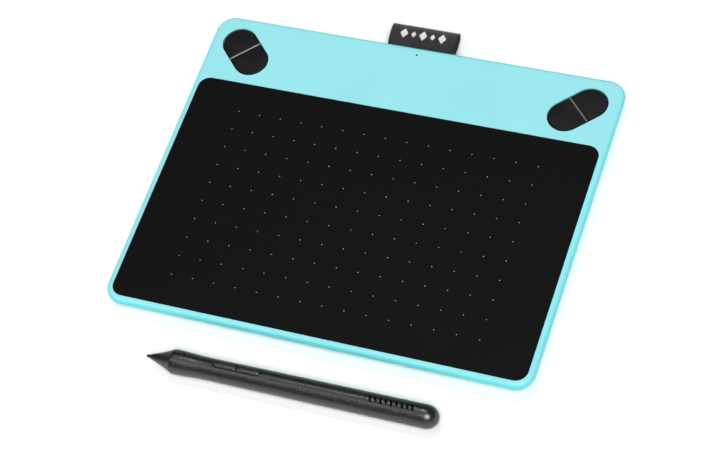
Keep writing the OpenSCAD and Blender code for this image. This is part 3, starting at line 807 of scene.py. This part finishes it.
def float_thread(line, normals, x, half, i, width):
    """One thread floating over the ribbon's face across it, half round, with its ends tucked in."""
    whole = int(i)
    point = line[whole].lerp(line[whole + 1], i - whole)
    normal = normals[whole]
    along = Vector((normal.y, -normal.x))
    rings = []
    for share, thick in ((-1, 0.25), (-0.85, 0.9), (0.0, 1.0), (0.85, 0.9), (1, 0.25)):
        ring = []
        for side, lift in ((-0.5, -0.3), (-0.42, 0.45), (0.0, 0.75), (0.42, 0.45), (0.5, -0.3)):
            out = LOOP_PLY * 0.45 + lift * thick * 0.16 * MM
            place = point + normal * out + along * side * width * 0.92
            ring.append(Vector((x + share * half, *place)))
        rings.append(ring)
    return loft(rings)


# ---------- pen ----------

# _S, _START and _END are distances from the nib's tip, and _R is one from the pen's axis
PEN_L = 142.4 * MM
NOSE_S, BARREL_S, FLARE_S, WAIST_S, TAIL_S = 2.4 * MM, 13.7 * MM, 15.1 * MM, 30 * MM, 136.4 * MM
FLARE_R, WAIST_R, TAIL_R, BORE_R = 5.9 * MM, 5.3 * MM, 5.55 * MM, 4.7 * MM
FRONT_DROP = 0.12 * MM
BUTTON_START, BUTTON_END, BUTTON_W = 34 * MM, 57.4 * MM, 3.9 * MM
BUTTON_SPLIT, BUTTON_TOP_R, BUTTON_EDGE = 0.4 * MM, 5.85 * MM, 0.35 * MM
BUTTON_FOOT_R, SLOT_FLOOR_R, CLEAR_R = 3.6 * MM, 3.2 * MM, 8 * MM
SLOT_GAP = 0.4 * MM
NIB_R, NIB_END = 0.8 * MM, 21 * MM
BAR_START, BAR_PITCH, BAR_COUNT, BAR_TURN = 110.6 * MM, 2.5 * MM, 9, math.radians(12)
BAR_LONG, BAR_SHORT = 1.5 * MM, 1.1 * MM
# BAR_FLOOR places the near-black pieces of painted shade in the bars
BAR_CUT, BAR_FLOOR = (-0.4 * MM, 2 * MM), (-0.6 * MM, -0.36 * MM)  # over the barrel's surface


def joint_axis(name):
    """A joint's direction at rest."""
    joint = next(joint for joint in frame["joints"] if joint["name"] == name)
    return Vector(joint["axis"]).normalized()


def pen_place():
    """The pen's own axes: origin at the nib's tip, X out through the buttons, Z towards the tail."""
    low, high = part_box("pen_nib")
    along = joint_axis("nib_press")
    out = -joint_axis("lower_button_press")
    out = (out - out.dot(along) * along).normalized()
    side = along.cross(out)
    tip = (low + high) / 2 - along * (high.x - low.x) / 2 / along.x
    return Matrix.Translation(tip) @ Matrix((out, side, along)).transposed().to_4x4()


def smooth_step(t):
    """A share from 0 to 1, eased at both ends."""
    return t * t * (3 - 2 * t)


def barrel_radius(s):
    """Radius of the barrel at a distance from the nib's tip."""
    if s < FLARE_S:
        return FLARE_R - FRONT_DROP * ((FLARE_S - s) / (FLARE_S - BARREL_S)) ** 2
    if s < WAIST_S:
        return FLARE_R - (FLARE_R - WAIST_R) * smooth_step((s - FLARE_S) / (WAIST_S - FLARE_S))
    if s < TAIL_S:
        return WAIST_R + (TAIL_R - WAIST_R) * ((s - WAIST_S) / (TAIL_S - WAIST_S)) ** 0.7
    return TAIL_R * math.sqrt(max(0.0, 1 - ((s - TAIL_S) / (PEN_L - TAIL_S)) ** 2))


def lathe(profile, place, steps=128, closed=True):
    """Turns a profile of (radius, distance) about the pen's axis."""
    turns = [math.tau * i / steps for i in range(steps)]
    rings = []
    for radius, s in profile:
        rings.append([place @ Vector((radius * math.cos(t), radius * math.sin(t), s)) for t in turns])
    return loft(rings, closed)


def spread(low, high, steps):
    """Equal steps from low to high, both included."""
    return [low + (high - low) * i / steps for i in range(steps + 1)]


def barrel_profile():
    """Closed profile of the barrel: its outside from front to tail, then its bore back to the front."""
    edge = 0.12 * MM
    outside = [(barrel_radius(BARREL_S) - edge, BARREL_S)]
    outside += [(barrel_radius(s), s) for s in spread(BARREL_S + edge, FLARE_S, 4)]
    outside += [(barrel_radius(s), s) for s in spread(FLARE_S, WAIST_S, 24)[1:]]
    outside += [(barrel_radius(s), s) for s in spread(WAIST_S, TAIL_S, 48)[1:]]
    turns = spread(0, 86, 14)[1:]
    tail = [TAIL_S + (PEN_L - TAIL_S) * math.sin(math.radians(t)) for t in turns]
    outside += [(barrel_radius(s), s) for s in tail]
    cap_r, bore_end = 0.04 * MM, PEN_L - 10 * MM
    inside = [(cap_r, PEN_L - 0.004 * MM), (cap_r, bore_end), (BORE_R, bore_end), (BORE_R, BARREL_S)]
    return outside + inside


def slot_ring(low, high, width, x, steps=12):
    """Outline of a slot along the pen, at a height x over its axis, in the pen's coordinates."""
    radius = width / 2
    outline = arc(radius, 180, 0, steps, (0.0, high - radius))
    outline += arc(radius, 0, -180, steps, (0.0, low + radius))
    return [Vector((x, y, s)) for y, s in outline]


def cut(target, vertices, faces):
    """Cuts a closed form out of a piece and leaves the result in its mesh."""
    cutter = add_object("cutter", outward_mesh("cutter", vertices, faces))
    modifier = target.modifiers.new("cut", "BOOLEAN")
    modifier.object = cutter
    modifier.solver = "EXACT"
    graph = bpy.context.evaluated_depsgraph_get()
    result = bpy.data.meshes.new_from_object(target.evaluated_get(graph))
    target.modifiers.clear()
    target.data = result
    bpy.data.objects.remove(cutter)


def make_barrel(place):
    """The barrel: turned, slotted for the side buttons, and debossed with a generic row of bars, each
    with a near-black piece of painted shade in its floor.
    """
    crease = 30
    shape = lathe(barrel_profile(), place)
    barrel = piece("grip_barrel", *shape, looks["pen_barrel"], "pen", crease=crease)
    slot = (BUTTON_START - SLOT_GAP, BUTTON_END + SLOT_GAP, BUTTON_W + 2 * SLOT_GAP)
    vertices, faces = loft([slot_ring(*slot, x) for x in (SLOT_FLOOR_R, CLEAR_R)])
    cut(barrel, [place @ v for v in vertices], faces)
    cut(barrel, *slanted_bars(place, *BAR_CUT))
    # Near-black pieces in the bars' floors: painted shade, so that the shallow deboss reads dark.
    dark = moulded("bar_floor_painted_shade", (0.0015, 0.0015, 0.0015), 0.6, specular=0.05).material
    floor = piece("deboss_painted_shade", *slanted_bars(place, *BAR_FLOOR), dark, "pen")
    smooth(barrel.data, crease)
    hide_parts("pen_barrel")


def slanted_bars(place, low, high):
    """Slanted bars in a row near the tail, between two heights over the barrel's surface."""
    around = Matrix.Rotation(BAR_TURN, 4, "Z")
    bars = []
    for i in range(BAR_COUNT):
        s = BAR_START + i * BAR_PITCH
        half = BAR_LONG if i % 2 == 0 else BAR_SHORT
        rings = []
        for x in (barrel_radius(s) + low, barrel_radius(s) + high):
            corners = ((-half, -0.95), (half, -0.15), (half, 0.95), (-half, 0.15))
            rings.append([place @ around @ Vector((x, y, s + ds * MM)) for y, ds in corners])
        bars.append(loft(rings))
    return join(*bars)


def make_nose(place):
    """The screw-in nose cone, a little hollow in its flank, with a thin shadow gap at the barrel."""
    flank = []
    start_r, end_r = 1.3 * MM, barrel_radius(BARREL_S) - 0.1 * MM
    for t in spread(0, 1, 24):
        sag = -0.16 * MM * math.sin(math.pi * t)
        flank.append((start_r + (end_r - start_r) * (0.9 * t + 0.1 * t * t) + sag,
                      NOSE_S + 0.25 * MM + (BARREL_S - NOSE_S - 0.5 * MM) * t))
    collar = [(1.0 * MM, NOSE_S), (1.22 * MM, NOSE_S + 0.04 * MM)]
    shoulder = [(end_r - 0.14 * MM, BARREL_S - 0.1 * MM), (end_r - 0.4 * MM, BARREL_S - 0.06 * MM)]
    plug_r, plug_end = BORE_R - 0.1 * MM, 20 * MM
    hollow_r, hollow_start, hole_r = 3 * MM, 9 * MM, 0.95 * MM
    plug = [(plug_r, BARREL_S), (plug_r, plug_end), (hollow_r, plug_end),
            (hollow_r, hollow_start), (hole_r, hollow_start)]
    shape = lathe(collar + flank + shoulder + plug, place)
    nose = piece("nose_cone", *shape, looks["pen_nose"], "pen", crease=40)
    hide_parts("pen_nose")


def make_nib(place):
    """The nib: a slim rod with a worn round tip."""
    tip_r, end_chamfer = NIB_R * 0.9, 0.1 * MM
    turns = [math.radians(t) for t in spread(0, 90, 10)]
    profile = [(max(0.01 * MM, tip_r * math.sin(t)), tip_r * (1 - math.cos(t))) for t in turns]
    profile += [(NIB_R, tip_r + 0.3 * MM), (NIB_R, NIB_END - end_chamfer),
                (NIB_R - end_chamfer, NIB_END)]
    shape = lathe(profile, place, steps=48, closed=False)
    nib = piece("nib_rod", *shape, looks["pen_nib"], "pen_nib", crease=40)
    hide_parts("pen_nib")


def half_button(outward, inset, end_inset):
    """Outline of a side button, round at its outer end, as (across, along) from the pair's middle."""
    radius = BUTTON_W / 2 - inset
    inner = BUTTON_SPLIT / 2 + end_inset
    end = (BUTTON_END - BUTTON_START) / 2 - BUTTON_W / 2
    sides = spread(inner, end, 10)[:-1]
    points = [(radius, s) for s in sides]
    points += arc(radius, 0, 180, 16, (0.0, end))
    points += [(-radius, s) for s in reversed(sides)]
    points += [(-radius + radius * i / 3, inner) for i in range(1, 6)]
    return [(y, outward * s) for y, s in points]


def button_rings(outward):
    """A side button in the pen's coordinates: straight sides under a rounded, faintly crowned top."""
    middle = (BUTTON_START + BUTTON_END) / 2
    outline = half_button(outward, 0, 0)
    rings = [[Vector((BUTTON_FOOT_R, y, middle + s)) for y, s in outline]]
    levels = [(outline, BUTTON_EDGE)]
    for inset, drop in edge_round(BUTTON_EDGE, 5)[1:]:
        levels.append((half_button(outward, inset, inset * 0.7), drop))
    rim = levels[-1][0]
    centre = outward * (BUTTON_END - BUTTON_START) / 4
    for share in (0.8, 0.5, 0.2):
        outline = [(y * share, centre + (s - centre) * share) for y, s in rim]
        levels.append((outline, -0.08 * MM * (1 - share ** 2)))
    for outline, drop in levels:
        rings.append([Vector((curved(y, drop), y, middle + s)) for y, s in outline])
    return rings


def curved(y, drop):
    """Height over the pen's axis of the buttons' round top, lowered by a drop."""
    return math.sqrt(BUTTON_TOP_R ** 2 - y * y) - drop


def make_buttons(place):
    """The two side buttons."""
    for name, outward in (("lower_side_button", -1), ("upper_side_button", 1)):
        vertices, faces = loft(button_rings(outward))
        vertices = [place @ v for v in vertices]
        button = piece(name + "_cap", vertices, faces, looks[name], name, crease=50)
        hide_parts(name)


def make_pen():
    """The pen's visible parts."""
    place = pen_place()
    make_barrel(place)
    make_nose(place)
    make_nib(place)
    make_buttons(place)


make_camera()
make_stage()
looks = paint_nodes()
make_sheet()
make_feet()
make_keys()
make_loop()
make_pen()
